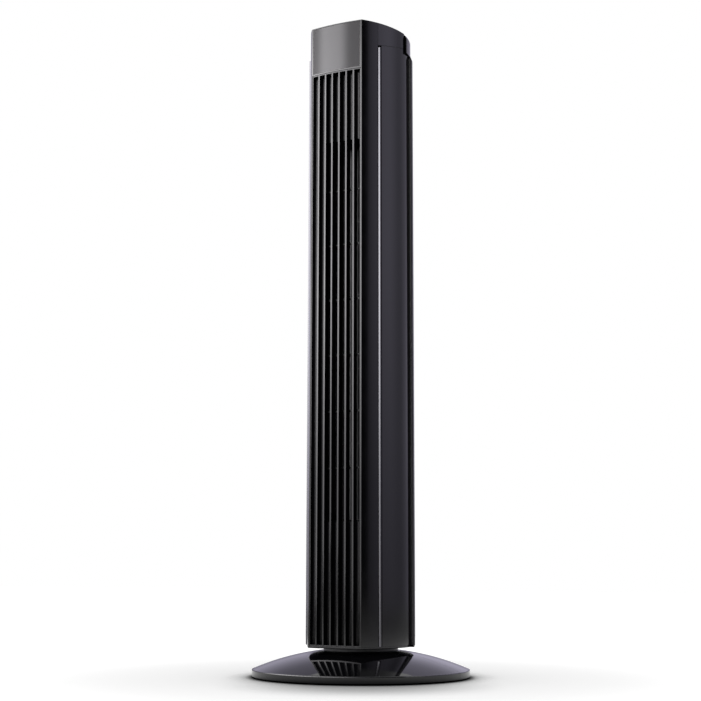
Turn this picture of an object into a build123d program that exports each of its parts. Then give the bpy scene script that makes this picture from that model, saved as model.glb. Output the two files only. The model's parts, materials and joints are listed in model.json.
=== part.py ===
"""Tower fan: a slim oscillating column with a crossflow blower on a round two-part base.

Millimetres and degrees. +Z is up, the outlet grille faces -Y, and the origin is the
centre of the resting face, on the axis about which the column swings.
"""

import os
from math import asin, cos, hypot, pi, radians, sin, sqrt, tan

from build123d import *

# ---------------------------------------------------------------- driving dimensions
# column plan
front_half_width = 41.0  # axis to the sharp front corner
front_depth = 75.0  # axis to the front corners
front_crown = 3.0  # how far the front face bows out between its corners
widest_half_width = 69.0  # side panels at their widest
widest_y = 5.0  # where the side panels are widest and the cap's sides end
side_rear_y = 17.0  # where the side panels end and the rear shell begins
rear_radius = 75.5  # outside of the rear shell
cap_rear_radius = 72.4  # outside of the top cap behind its sides
cap_edge_radius = 7.5  # rounding of the cap's rear top edge
cap_side_rounding = 1.5  # rounding at the rear end of the cap's sides
panel_rear_rounding = 1.4
shell_front_rounding = 2.2
corner_radius = 1.2

# column heights
overall_height = 920.0
column_bottom = 41.5
floor_thickness = 3.0
rear_shell_drop = 29.0  # drops are measured down from the top of the cap
side_drop_front = 33.0  # parting line of the cap at the side groove
side_drop_rear = 23.0  # parting line of the cap at the widest point
groove_drop = 37.0

# walls and clearances
wall = 2.4
panel_gap = 0.3
cutter_reach = 200.0  # cutters run out past the column to this
fit_gap = 0.05
screw_gap = 0.15
turning_gap = 0.3

# side groove and its trim strip
groove_front_y = -53.0
groove_rear_y = -47.2
tongue_reach = 7.0  # how far the side panel's tongue runs under the front shell
tongue_thickness = 2.0
trim_base_thickness = 1.0
trim_bead_width = 1.8
trim_bead_height = 4.05  # of which 2.4 stand proud of the side
trim_bead_y = -51.2
trim_bead_rounding = 0.7

# outlet grille
grille_half_width = 39.6
grille_gap = 0.15
grille_drop = 71.0
rib_count = 6
rib_pitch = 11.25
rib_width = 2.3
grille_depth = 8.6
sill_height = 1.5
slot_margin = 1.8  # between the slots and the grille's top edge
slot_depth = 9.0
blind_slot_count = 2
open_bottom = 211.0
open_drop = 173.0
bar_count = 6
bar_pitch = 78.2
bar_height = 2.4

# name plate (bare)
plate_half_width = 38.0
plate_grille_gap = 2.3
plate_top_margin = 1.4
plate_thickness = 1.5

# base
base_radius = 150.5
base_underside = 2.0
rim_top = 11.5
rim_edge_radius = 1.5
dome_top = 36.5
dome_mid_radius = 105.0
dome_mid_height = 26.6
dome_flat_radius = 55.0
dome_wall = 3.0
seam_gap = 0.3
base_rib_count = 12
base_rib_width = 2.0
base_rib_bottom = 6.0
foot_circle_radius = 131.0
foot_count = 6
foot_boss_radius = 10.0
foot_radius = 8.0
foot_height = 4.0
foot_recess = 2.0

# swivel
neck_radius = 51.5
neck_thickness = 3.5
hub_radius = 49.6
hub_wall = 3.0
hub_flange_radius = 70.0
hub_flange_bottom = 12.0
hub_flange_thickness = 4.0
hub_screw_circle = 60.0
hub_screw_count = 4
hub_boss_radius = 5.0
post_radius = 16.0
post_bore = 11.0
post_head_radius = 14.0
post_flat = 12.0
bearing_boss_radius = 24.0
bearing_boss_top = 60.0
thrust_ring_outer = 40.0
thrust_ring_inner = 20.0

# swing gear train
gear_module = 1.25
gear_teeth = 48
pinion_teeth = 12
gear_bottom = 62.0
gear_thickness = 6.0
gear_backlash = 0.35
clip_thickness = 1.6
clip_width = 4.0
clip_groove_depth = 1.0
gear_hole_circle = 21.5
gear_hole_radius = 4.0
swing_motor_ear = 17.5

# blower
blower_y = 8.0
impeller_radius = 42.0
blade_depth = 8.5
blade_count = 24
blade_thickness = 1.3
blade_sweep = 9.0
impeller_bottom = 214.0
impeller_drop = 176.0
impeller_stages = 5
ring_thickness = 1.6
shaft_radius = 4.0
lower_deck_bottom = 196.0
upper_deck_drop = 163.0
deck_thickness = 3.0
deck_rim_height = 9.0
deck_rim_wall = 2.5
duct_wall = 2.0
scroll_gap = 5.0
tongue_gap = 4.0

# motor
motor_radius = 40.0
motor_air_gap = 0.4
rotor_radius = 20.0
stator_bottom = 140.0
stator_height = 32.0
bell_depth = 18.0
bell_wall = 3.0
winding_inner = 23.0
winding_outer = 35.0
winding_height = 12.0
bush_radius = 8.0
bush_length = 6.0
motor_mount_circle = 33.0
motor_mount_radius = 4.5
column_post_radius = 5.0

# rear intake
intake_columns = 17
intake_angle_step = 7.2
intake_slot_width = 5.0
intake_rows = 6
intake_row_pitch = 88.0
intake_slot_height = 80.0

# carry handle
handle_half_width = 46.0
handle_drop = 120.0
handle_height = 46.0
handle_depth = 26.0
handle_wall = 2.2
handle_lip_height = 10.0
handle_lip_depth = 9.0
handle_corner = 7.0

# cord inlet
gland_height = 72.0
gland_neck_radius = 6.8
gland_flange_radius = 9.0
gland_flange_thickness = 2.0
gland_bore = 3.6

# controls
control_y = -28.0
panel_half_width = 45.0
panel_half_depth = 15.0
panel_corner = 4.0
cap_plate = 2.5
button_count = 4
button_pitch = 22.0
button_radius = 6.7
button_rise = 1.6
button_travel = 1.2
button_flange_radius = 8.4
button_flange_thickness = 2.0
board_half_width = 50.0
board_half_depth = 20.0
board_thickness = 1.6
board_drop = 15.0
mat_thickness = 1.5
board_post_radius = 3.2
lens_radius = 1.5
lens_offset = 11.0

# fasteners
screw_radius = 1.5
screw_head_radius = 3.6
screw_head_height = 2.0
screw_head_proud = 0.4
shell_screw_length = 12.0
shell_screw_angles = (60.0, 120.0)

# ---------------------------------------------------------------- derived geometry
floor_top = column_bottom + floor_thickness
screw_seat = rear_radius - screw_head_height + screw_head_proud
rear_shell_top = overall_height - rear_shell_drop
side_top_front = overall_height - side_drop_front
side_top_rear = overall_height - side_drop_rear
groove_top = overall_height - groove_drop
grille_top = overall_height - grille_drop
slot_top = grille_top - slot_margin
open_top = overall_height - open_drop
plate_bottom = grille_top + plate_grille_gap
impeller_top = overall_height - impeller_drop
upper_deck_bottom = overall_height - upper_deck_drop
intake_middle = (impeller_bottom + impeller_top) / 2
handle_bottom = overall_height - handle_drop
board_top = overall_height - board_drop
front_tip = front_depth + front_crown
front_arc_radius = (front_half_width**2 + front_crown**2) / (2 * front_crown)
front_arc_y = front_arc_radius - front_tip
side_run = widest_y + front_depth
side_swell = widest_half_width - front_half_width
side_arc_radius = (side_run**2 + side_swell**2) / (2 * side_swell)
side_arc_x = widest_half_width - side_arc_radius
grille_bottom = floor_top
slot_bottom = grille_bottom + sill_height
lip_inner = widest_half_width - wall - 3.0
inner_inset = wall + 2 * panel_gap + tongue_thickness
impeller_length = impeller_top - impeller_bottom
gear_radius = gear_module * gear_teeth / 2
pinion_radius = gear_module * pinion_teeth / 2
pinion_y = gear_radius + pinion_radius
swing_motor_y = pinion_y + 7.0
neck_top = dome_top + neck_thickness
post_top = gear_bottom + gear_thickness + 4.0

os.makedirs("parts", exist_ok=True)


def save(part, name):
    """Label a finished piece and write it."""
    part.label = name
    export_step(part, f"parts/{name}.step")


# ---------------------------------------------------------------- plan outlines
def front_corner(inset):
    """Where the front arc and the right side arc cross, both moved in by inset."""
    front = front_arc_radius - inset
    side = side_arc_radius - inset
    span_x = side_arc_x
    span_y = widest_y - front_arc_y
    span = hypot(span_x, span_y)
    along = (front**2 - side**2 + span**2) / (2 * span)
    across = sqrt(front**2 - along**2)
    unit_x, unit_y = span_x / span, span_y / span
    return (along * unit_x - across * unit_y, front_arc_y + along * unit_y + across * unit_x)


def outline(inset=0.0, rear=rear_radius, step_y=side_rear_y):
    """Closed plan of the column, moved in by inset: front arc, side arcs, step, rear arc."""
    rear = rear - inset
    side = side_arc_radius - inset
    corner_x, corner_y = front_corner(inset)
    half_turn = asin((widest_y - corner_y) / side) / 2
    side_mid = (side_arc_x + side * cos(half_turn), widest_y - side * sin(half_turn))
    side_end = (side_arc_x + sqrt(side**2 - (step_y - widest_y) ** 2), step_y)
    step = (sqrt(rear**2 - step_y**2), step_y)
    with BuildSketch() as plan:
        with BuildLine():
            ThreePointArc((-corner_x, corner_y), (0, inset - front_tip), (corner_x, corner_y))
            ThreePointArc((corner_x, corner_y), side_mid, side_end)
            Line(side_end, step)
            ThreePointArc(step, (0, rear), (-step[0], step[1]))
            Line((-step[0], step[1]), (-side_end[0], side_end[1]))
            ThreePointArc(
                (-side_end[0], side_end[1]), (-side_mid[0], side_mid[1]), (-corner_x, corner_y)
            )
        make_face()
        if inset == 0 and corner_radius > 0:
            fillet(plan.vertices().sort_by(Axis.Y)[:2], radius=corner_radius)
    return plan.sketch


def band(y_low, y_high, x_low=-cutter_reach, x_high=cutter_reach):
    """Rectangle used to keep a stretch of a plan."""
    with BuildSketch() as strip:
        with Locations(((x_low + x_high) / 2, (y_low + y_high) / 2)):
            Rectangle(x_high - x_low, y_high - y_low)
    return strip.sketch


def skin(outer, inner, y_low, y_high):
    """The ring between two insets of the outline, kept from y_low to y_high."""
    with BuildSketch() as ring:
        add(outline(outer))
        add(outline(inner), mode=Mode.SUBTRACT)
        add(band(y_low, y_high), mode=Mode.INTERSECT)
    return ring.sketch


def inside(inset=0.0):
    """Plan of the space that the inner frame may fill, moved in by inset."""
    rear = rear_radius - wall - panel_gap - inset
    with BuildSketch() as room:
        add(outline(inner_inset + inset, rear + inner_inset + inset))
        clear = lip_inner - panel_gap - inset
        add(band(grille_back_y() + panel_gap + inset, cutter_reach, -clear, clear), mode=Mode.INTERSECT)
    return room.sketch


def grille_back_y():
    """Back face of the outlet grille."""
    return grille_depth - front_depth


# ---------------------------------------------------------------- round base
with BuildPart() as dome_envelope:
    with BuildSketch(Plane.XZ):
        with BuildLine():
            Line((0, base_underside), (base_radius, base_underside))
            Line((base_radius, base_underside), (base_radius, rim_top - rim_edge_radius))
            TangentArc(
                (base_radius, rim_top - rim_edge_radius),
                (base_radius - rim_edge_radius, rim_top),
                tangent=(0, 1),
            )
            ThreePointArc(
                (base_radius - rim_edge_radius, rim_top),
                (dome_mid_radius, dome_mid_height),
                (dome_flat_radius, dome_top),
            )
            Line((dome_flat_radius, dome_top), (0, dome_top))
            Line((0, dome_top), (0, base_underside))
        make_face()
    revolve(axis=Axis.Z)

with BuildPart() as dome_cavity:
    with BuildSketch(Plane.XZ):
        with BuildLine():
            Line((0, base_underside - 1), (base_radius - dome_wall, base_underside - 1))
            Line(
                (base_radius - dome_wall, base_underside - 1),
                (base_radius - dome_wall, rim_top - dome_wall),
            )
            ThreePointArc(
                (base_radius - dome_wall, rim_top - dome_wall),
                (dome_mid_radius, dome_mid_height - dome_wall),
                (dome_flat_radius, dome_top - dome_wall),
            )
            Line((dome_flat_radius, dome_top - dome_wall), (0, dome_top - dome_wall))
            Line((0, dome_top - dome_wall), (0, base_underside - 1))
        make_face()
    revolve(axis=Axis.Z)
    # stiffening ribs, the foot bosses and the screw bosses stay in the cavity
    rib_inner = hub_flange_radius + 2.0
    with BuildSketch(Plane.XY.offset(base_rib_bottom)):
        with PolarLocations((rib_inner + base_radius) / 2, base_rib_count, start_angle=15):
            Rectangle(base_radius - rib_inner, base_rib_width)
    extrude(amount=dome_top, mode=Mode.SUBTRACT)
    with BuildSketch(Plane.XY.offset(base_underside - 1)):
        with PolarLocations(foot_circle_radius, foot_count, start_angle=30):
            Circle(foot_boss_radius)
    extrude(amount=dome_top, mode=Mode.SUBTRACT)
    flange_top = hub_flange_bottom + hub_flange_thickness
    with BuildSketch(Plane.XY.offset(flange_top)):
        with PolarLocations(hub_screw_circle, hub_screw_count, start_angle=45):
            Circle(hub_boss_radius)
    extrude(amount=dome_top, mode=Mode.SUBTRACT)

with BuildPart() as base_shell:
    add(dome_envelope.part)
    add(dome_cavity.part, mode=Mode.SUBTRACT)
    with Locations((0, 0, dome_top / 2)):
        Cylinder(hub_radius + panel_gap, dome_top * 2, mode=Mode.SUBTRACT)
    with BuildSketch(Plane.XY.offset(base_underside)):
        with PolarLocations(foot_circle_radius, foot_count, start_angle=30):
            Circle(foot_radius + screw_gap)
    extrude(amount=foot_recess, mode=Mode.SUBTRACT)
    with BuildSketch(Plane.XY.offset(flange_top)):
        with PolarLocations(hub_screw_circle, hub_screw_count, start_angle=45):
            Circle(screw_radius + screw_gap)
    extrude(amount=12.0, mode=Mode.SUBTRACT)

with BuildPart() as base_front_half:
    add(base_shell.part)
    split(bisect_by=Plane.XZ.offset(seam_gap / 2), keep=Keep.TOP)
save(base_front_half.part, "base_front_half")

with BuildPart() as base_rear_half:
    add(base_shell.part)
    split(bisect_by=Plane.XZ.offset(-seam_gap / 2), keep=Keep.BOTTOM)
save(base_rear_half.part, "base_rear_half")

with BuildPart() as base_feet:
    with BuildSketch():
        with PolarLocations(foot_circle_radius, foot_count, start_angle=30):
            Circle(foot_radius)
    extrude(amount=foot_height)
    chamfer(base_feet.faces().group_by(Axis.Z)[0].edges(), length=0.8)
save(base_feet.part, "base_feet")

# ---------------------------------------------------------------- swivel hub
with BuildPart() as swivel_hub:
    with BuildSketch(Plane.XZ):
        with BuildLine():
            Polyline(
                (post_bore, dome_top),
                (post_bore, post_top),
                (post_head_radius, post_top),
                (post_head_radius, gear_bottom),
                (post_radius, gear_bottom),
                (post_radius, neck_top),
                (neck_radius, neck_top),
                (neck_radius, dome_top),
                (hub_radius, dome_top),
                (hub_radius, flange_top),
                (hub_flange_radius, flange_top),
                (hub_flange_radius, hub_flange_bottom),
                (hub_radius - hub_wall, hub_flange_bottom),
                (hub_radius - hub_wall, dome_top),
                close=True,
            )
        make_face()
    revolve(axis=Axis.Z)
    chamfer(swivel_hub.edges().filter_by(GeomType.CIRCLE).sort_by(SortBy.RADIUS)[-1:], length=0.8)
    # screw holes through the flange
    with BuildSketch(Plane.XY.offset(hub_flange_bottom)):
        with PolarLocations(hub_screw_circle, hub_screw_count, start_angle=45):
            Circle(screw_radius + screw_gap)
    extrude(amount=hub_flange_thickness, mode=Mode.SUBTRACT)
    # flats that key the swing gear, and the groove of its clip
    with BuildSketch(Plane.XY.offset(gear_bottom)):
        with Locations((0, post_flat + 5), (0, -post_flat - 5)):
            Rectangle(40, 10)
    extrude(amount=post_top - gear_bottom, mode=Mode.SUBTRACT)
    with BuildSketch(Plane.XY.offset(gear_bottom + gear_thickness + fit_gap)):
        Circle(post_radius)
        Circle(post_head_radius - clip_groove_depth, mode=Mode.SUBTRACT)
    extrude(amount=clip_thickness + 2 * fit_gap, mode=Mode.SUBTRACT)
save(swivel_hub.part, "swivel_hub")

with BuildPart() as base_screws:
    with BuildSketch(Plane.XY.offset(hub_flange_bottom - screw_head_height)):
        with PolarLocations(hub_screw_circle, hub_screw_count, start_angle=45):
            Circle(screw_head_radius)
    extrude(amount=screw_head_height)
    with BuildSketch(Plane.XY.offset(hub_flange_bottom)):
        with PolarLocations(hub_screw_circle, hub_screw_count, start_angle=45):
            Circle(screw_radius)
    extrude(amount=hub_flange_thickness + 10.0)
save(base_screws.part, "base_screws")

with BuildPart() as thrust_ring:
    with BuildSketch(Plane.XY.offset(neck_top)):
        Circle(thrust_ring_outer)
        Circle(thrust_ring_inner, mode=Mode.SUBTRACT)
    extrude(amount=column_bottom - neck_top - turning_gap)
save(thrust_ring.part, "thrust_ring")


def toothed_wheel(teeth, root_widening, start_angle):
    """Spur gear plan with straight-sided teeth, thinned for backlash."""
    pitch_radius = gear_module * teeth / 2
    half = (pi * gear_module / 2 - gear_backlash) / 2
    addendum = 0.85 * gear_module
    dedendum = 1.2 * gear_module
    slope = tan(radians(22))
    tip_half = half - addendum * slope
    root_half = half + dedendum * slope * root_widening
    with BuildSketch() as wheel:
        Circle(pitch_radius - dedendum)
        with PolarLocations(0, teeth, start_angle=start_angle):
            Polygon(
                (pitch_radius - dedendum - 0.4, -root_half),
                (pitch_radius, -half),
                (pitch_radius + addendum, -tip_half),
                (pitch_radius + addendum, tip_half),
                (pitch_radius, half),
                (pitch_radius - dedendum - 0.4, root_half),
                align=None,
            )
    return wheel.sketch


with BuildPart() as swing_gear:
    with BuildSketch(Plane.XY.offset(gear_bottom)):
        add(toothed_wheel(gear_teeth, 0.6, 90))
        with BuildSketch(mode=Mode.SUBTRACT):
            Circle(post_head_radius + fit_gap)
            Rectangle(40, 2 * (post_flat + fit_gap), mode=Mode.INTERSECT)
        with PolarLocations(gear_hole_circle, 6):
            Circle(gear_hole_radius, mode=Mode.SUBTRACT)
    extrude(amount=gear_thickness)
save(swing_gear.part, "swing_gear")

with BuildPart() as gear_clip:
    with BuildSketch(Plane.XY.offset(gear_bottom + gear_thickness + 2 * fit_gap)):
        Circle(post_head_radius - clip_groove_depth + fit_gap + clip_width)
        Circle(post_head_radius - clip_groove_depth + fit_gap, mode=Mode.SUBTRACT)
        with Locations((0, post_head_radius)):
            Rectangle(8, 2 * post_head_radius, mode=Mode.SUBTRACT)
    extrude(amount=clip_thickness - 2 * fit_gap)
save(gear_clip.part, "gear_clip")

with BuildPart() as swing_pinion:
    with BuildSketch(Plane.XY.offset(gear_bottom)):
        with Locations((0, pinion_y)):
            add(toothed_wheel(pinion_teeth, 0.0, 90 + 180 / pinion_teeth))
    extrude(amount=gear_thickness)
    with BuildSketch(Plane.XY.offset(floor_top + 8.0)):
        with Locations((0, pinion_y)):
            Circle(2.5)
    extrude(amount=gear_bottom - floor_top - 8.0)
save(swing_pinion.part, "swing_pinion")

# ---------------------------------------------------------------- bottom housing
post_places = ((50.0, -20.0), (-50.0, -20.0), (45.0, 44.0), (-45.0, 44.0))
rim_screw_low = floor_top + 8.0
rim_screw_mid = lower_deck_bottom - 4.5
rim_screw_high = upper_deck_bottom + deck_thickness + 4.5


def outward_plane(angle, reach, height):
    """Upright plane that faces away from the axis, with its X sideways and its Y up."""
    away = Vector(cos(radians(angle)), sin(radians(angle)), 0)
    sideways = Vector(-away.Y, away.X, 0)
    return Plane(origin=away * reach + Vector(0, 0, height), x_dir=sideways, z_dir=away)


def radial_rods(radius, height, reach_from, reach_to):
    """Rods that run out from the axis at the angles of the shell screws."""
    with BuildPart() as rods:
        for angle in shell_screw_angles:
            with BuildSketch(outward_plane(angle, reach_from, height)):
                Circle(radius)
        extrude(amount=reach_to - reach_from)
    return rods.part


with BuildPart() as bottom_housing:
    with BuildSketch(Plane.XY.offset(column_bottom)):
        add(outline())
    extrude(amount=floor_thickness)
    chamfer(bottom_housing.faces().sort_by(Axis.Z)[0].edges(), length=0.8)
    with BuildSketch(Plane.XY.offset(floor_top)):
        add(inside())
        add(inside(deck_rim_wall), mode=Mode.SUBTRACT)
    extrude(amount=bearing_boss_top - floor_top)
    with BuildSketch(Plane.XY.offset(floor_top)):
        Circle(bearing_boss_radius)
    extrude(amount=bearing_boss_top - floor_top)
    with BuildSketch(Plane.XY.offset(column_bottom)):
        Circle(post_radius + fit_gap)
    extrude(amount=bearing_boss_top - column_bottom, mode=Mode.SUBTRACT)
    with BuildSketch(Plane.XY.offset(floor_top)):
        with Locations((swing_motor_ear, swing_motor_y), (-swing_motor_ear, swing_motor_y)):
            Circle(screw_radius)
    extrude(amount=-2.2, mode=Mode.SUBTRACT)
    add(radial_rods(screw_radius + screw_gap, rim_screw_low, 60.0, 80.0), mode=Mode.SUBTRACT)
save(bottom_housing.part, "bottom_housing")

# ---------------------------------------------------------------- front shell and grille
with BuildPart() as front_shell:
    with BuildSketch(Plane.XY.offset(floor_top)):
        add(skin(0, wall, -cutter_reach, groove_front_y))
    extrude(amount=overall_height - floor_top)
    # window for the outlet grille
    with BuildSketch(Plane.XZ.offset(front_depth - 20.0)):
        with Locations((0, (grille_bottom + grille_top) / 2)):
            Rectangle(2 * grille_half_width, grille_top - grille_bottom)
    extrude(amount=40.0, mode=Mode.SUBTRACT)
    # shallow seat for the name plate
    with BuildSketch(Plane.XY.offset(plate_bottom)):
        add(skin(-1.0, plate_thickness, -cutter_reach, 0))
        add(band(-cutter_reach, 0, -plate_half_width, plate_half_width), mode=Mode.INTERSECT)
    extrude(amount=overall_height - plate_bottom - plate_top_margin, mode=Mode.SUBTRACT)
save(front_shell.part, "front_shell")

with BuildPart() as name_plate:
    with BuildSketch(Plane.XY.offset(plate_bottom)):
        add(skin(0.1, plate_thickness - fit_gap, -cutter_reach, 0))
        half_width = plate_half_width - panel_gap
        add(band(-cutter_reach, 0, -half_width, half_width), mode=Mode.INTERSECT)
    extrude(amount=overall_height - plate_bottom - plate_top_margin - panel_gap)
save(name_plate.part, "name_plate")


def grille_front(inset):
    """Plan of the grille block: bowed front, flat back."""
    half_width = grille_half_width - grille_gap
    with BuildSketch() as block:
        with Locations((0, front_arc_y)):
            Circle(front_arc_radius - inset)
        back = grille_back_y()
        add(band(-cutter_reach, back, -half_width, half_width), mode=Mode.INTERSECT)
    return block.sketch


slot_places = [(i - rib_count / 2) * rib_pitch for i in range(rib_count + 1)]
slot_width = rib_pitch - rib_width
bar_places = [(i - (bar_count - 1) / 2) * bar_pitch for i in range(bar_count)]
open_middle = (open_bottom + open_top) / 2

with BuildPart() as front_grille:
    with BuildSketch(Plane.XY.offset(grille_bottom)):
        add(grille_front(0.6))
    extrude(amount=grille_top - grille_bottom)
    # every slot is a round-floored groove over the whole height
    slot_floor = slot_depth - front_tip
    slot_turn = slot_floor - slot_width / 2
    with BuildSketch(Plane.XY.offset(slot_bottom)):
        with Locations(*[(x, slot_turn) for x in slot_places]):
            Circle(slot_width / 2)
        with Locations(*[(x, slot_turn - 10.0) for x in slot_places]):
            Rectangle(slot_width, 20.0)
    extrude(amount=slot_top - slot_bottom, mode=Mode.SUBTRACT)
    # all but the first grooves open through the back, between the cross bars
    with BuildSketch(Plane.XZ.offset(-grille_back_y() - 5.0)):
        with Locations(*[(x, open_middle) for x in slot_places[blind_slot_count:]]):
            Rectangle(slot_width, open_top - open_bottom)
        with Locations(*[(0, open_middle + z) for z in bar_places]):
            Rectangle(4 * grille_half_width, bar_height, mode=Mode.SUBTRACT)
    extrude(amount=front_tip, mode=Mode.SUBTRACT)
save(front_grille.part, "front_grille")

# ---------------------------------------------------------------- side panels and trims
with BuildPart() as parting_cutter:
    # everything above the cap's lower edge, seen from the side
    rise = (side_top_rear - side_top_front) / (widest_y - groove_rear_y)
    front_level = side_top_rear - rise * (widest_y + 100.0)
    with BuildSketch(Plane.YZ.offset(-150)):
        Polygon(
            (-100.0, front_level),
            (widest_y + panel_gap / 2, side_top_rear + rise * panel_gap / 2),
            (widest_y + panel_gap / 2, rear_shell_top),
            (100.0, rear_shell_top),
            (100.0, overall_height + 50.0),
            (-100.0, overall_height + 50.0),
            align=None,
        )
    extrude(amount=300)

with BuildPart() as side_panels:
    joggle = wall + panel_gap
    with BuildSketch(Plane.XY.offset(floor_top)):
        add(skin(0, wall, groove_rear_y, side_rear_y))
        add(skin(0, joggle + tongue_thickness, groove_rear_y, groove_rear_y + 4.0))
        tongue_front = groove_front_y - tongue_reach
        add(skin(joggle, joggle + tongue_thickness, tongue_front, groove_rear_y + 2.0))
    extrude(amount=overall_height - floor_top)
    rear_edges = side_panels.edges().filter_by(Axis.Z).group_by(Axis.Y)[-1].sort_by(Axis.X)
    fillet((rear_edges[0], rear_edges[-1]), radius=panel_rear_rounding)
    add(parting_cutter.part, mode=Mode.SUBTRACT)

with BuildPart() as side_trims:
    with BuildSketch(Plane.XY.offset(floor_top)):
        base_low = groove_front_y + panel_gap
        base_high = groove_rear_y - panel_gap
        trim_back = joggle - fit_gap
        add(skin(trim_back - trim_base_thickness, trim_back, base_low, base_high))
        bead_low = trim_bead_y - trim_bead_width / 2
        bead_front = trim_back - trim_base_thickness - trim_bead_height
        add(skin(bead_front, trim_back, bead_low, bead_low + trim_bead_width))
    extrude(amount=groove_top - floor_top)
    bead_edges = side_trims.edges().filter_by(Axis.Z).sort_by(Axis.X)
    fillet((*bead_edges[:2], *bead_edges[-2:]), radius=trim_bead_rounding)

for side_name, side_sign in (("right", 1), ("left", -1)):
    with BuildPart() as side_piece:
        add(side_panels.part)
        split(bisect_by=Plane.YZ, keep=Keep.TOP if side_sign > 0 else Keep.BOTTOM)
    save(side_piece.part, f"side_panel_{side_name}")
    with BuildPart() as trim_piece:
        add(side_trims.part)
        split(bisect_by=Plane.YZ, keep=Keep.TOP if side_sign > 0 else Keep.BOTTOM)
    save(trim_piece.part, f"side_trim_{side_name}")

# ---------------------------------------------------------------- rear shell
shell_front_y = side_rear_y + panel_gap
handle_middle = handle_bottom + handle_height / 2


def handle_window(grow):
    """Rounded rectangle of the handle pocket, seen from behind."""
    with BuildSketch() as window:
        with Locations((0, handle_middle)):
            RectangleRounded(
                2 * (handle_half_width + grow), handle_height + 2 * grow, handle_corner + grow
            )
    return window.sketch


with BuildPart() as rear_shell:
    with BuildSketch(Plane.XY.offset(floor_top)):
        Circle(rear_radius)
        Circle(rear_radius - wall, mode=Mode.SUBTRACT)
        add(band(shell_front_y, cutter_reach), mode=Mode.INTERSECT)
        # forward lips that close the step behind the side panels
        with BuildSketch() as lips:
            Circle(rear_radius - wall / 2)
            add(band(shell_front_y, shell_front_y + wall), mode=Mode.INTERSECT)
            add(band(-cutter_reach, cutter_reach, -lip_inner, lip_inner), mode=Mode.SUBTRACT)
    extrude(amount=rear_shell_top - floor_top)
    front_edges = rear_shell.edges().filter_by(Axis.Z).group_by(Axis.Y)[0].sort_by(Axis.X)
    fillet((front_edges[0], front_edges[-1]), radius=shell_front_rounding)
    rim = rear_shell.faces().sort_by(Axis.Z)[-1].edges().filter_by(GeomType.CIRCLE)
    chamfer(rim.sort_by(SortBy.RADIUS)[-1:], length=5.0, length2=1.9)
    # air intake slots
    row_places = [(i - (intake_rows - 1) / 2) * intake_row_pitch for i in range(intake_rows)]
    for i in range(intake_columns):
        angle = 90 + (i - (intake_columns - 1) / 2) * intake_angle_step
        with BuildSketch(outward_plane(angle, rear_radius - 10, intake_middle)):
            with Locations(*[(0, z) for z in row_places]):
                Rectangle(intake_slot_width, intake_slot_height)
    extrude(amount=20, mode=Mode.SUBTRACT)
    # window of the handle pocket
    with BuildSketch(Plane.XZ.offset(-rear_radius - 5)):
        add(handle_window(panel_gap / 2))
    extrude(amount=rear_radius, mode=Mode.SUBTRACT)
    # cord inlet
    with BuildSketch(Plane.XZ.offset(-rear_radius - 5)):
        with Locations((0, gland_height)):
            Circle(gland_neck_radius + screw_gap)
    extrude(amount=20, mode=Mode.SUBTRACT)
    for height in (rim_screw_low, rim_screw_mid, rim_screw_high):
        add(radial_rods(screw_radius + screw_gap, height, 66.0, 82.0), mode=Mode.SUBTRACT)
        add(radial_rods(screw_head_radius + screw_gap, height, screw_seat, 82.0), mode=Mode.SUBTRACT)
save(rear_shell.part, "rear_shell")

with BuildPart() as rear_screws:
    for height in (rim_screw_low, rim_screw_mid, rim_screw_high):
        add(radial_rods(screw_head_radius, height, screw_seat, screw_seat + screw_head_height - 0.5))
        add(radial_rods(screw_radius, height, screw_seat - shell_screw_length, screw_seat))
save(rear_screws.part, "rear_screws")

with BuildPart() as handle_pocket:
    with BuildSketch(Plane.XZ.offset(-rear_radius - 5)):
        add(handle_window(0))
    extrude(amount=handle_depth + 5)
    with BuildSketch(Plane.XY.offset(handle_bottom - 10)):
        Circle(rear_radius - fit_gap)
    extrude(amount=handle_height + 20, mode=Mode.INTERSECT)
    # the mouth, and the finger space behind its upper lip
    mouth_height = handle_height - 2 * handle_wall - handle_lip_height
    with BuildSketch(Plane.XZ.offset(-rear_radius - 5)):
        with Locations((0, handle_bottom + handle_wall + mouth_height / 2)):
            RectangleRounded(
                2 * (handle_half_width - handle_wall), mouth_height, handle_corner - handle_wall
            )
    extrude(amount=handle_depth + 5 - handle_wall, mode=Mode.SUBTRACT)
    lip_front = rear_radius - handle_lip_depth
    with BuildSketch(Plane.XZ.offset(-(lip_front - 6))):
        with Locations((0, handle_middle)):
            RectangleRounded(
                2 * (handle_half_width - handle_wall),
                handle_height - 2 * handle_wall,
                handle_corner - handle_wall,
            )
    extrude(amount=lip_front - 6 - (rear_radius - handle_depth) - handle_wall, mode=Mode.SUBTRACT)
save(handle_pocket.part, "handle_pocket")

with BuildPart() as cord_gland:
    gland_outer = rear_radius + fit_gap
    gland_inner = rear_radius - wall - 1.0
    with BuildSketch(Plane.XZ.offset(-gland_outer)):
        with Locations((0, gland_height)):
            Circle(gland_flange_radius)
    extrude(amount=-gland_flange_thickness)
    chamfer(cord_gland.faces().sort_by(Axis.Y)[-1].edges(), length=1.0)
    with BuildSketch(Plane.XZ.offset(-gland_outer)):
        with Locations((0, gland_height)):
            Circle(gland_neck_radius)
    extrude(amount=gland_outer - gland_inner)
    with BuildSketch(Plane.XZ.offset(-gland_inner)):
        with Locations((0, gland_height)):
            Circle(gland_flange_radius)
    extrude(amount=gland_flange_thickness)
    with BuildSketch(Plane.XZ.offset(-gland_outer - 10)):
        with Locations((0, gland_height)):
            Circle(gland_bore)
    extrude(amount=30, mode=Mode.SUBTRACT)
save(cord_gland.part, "cord_gland")

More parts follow.
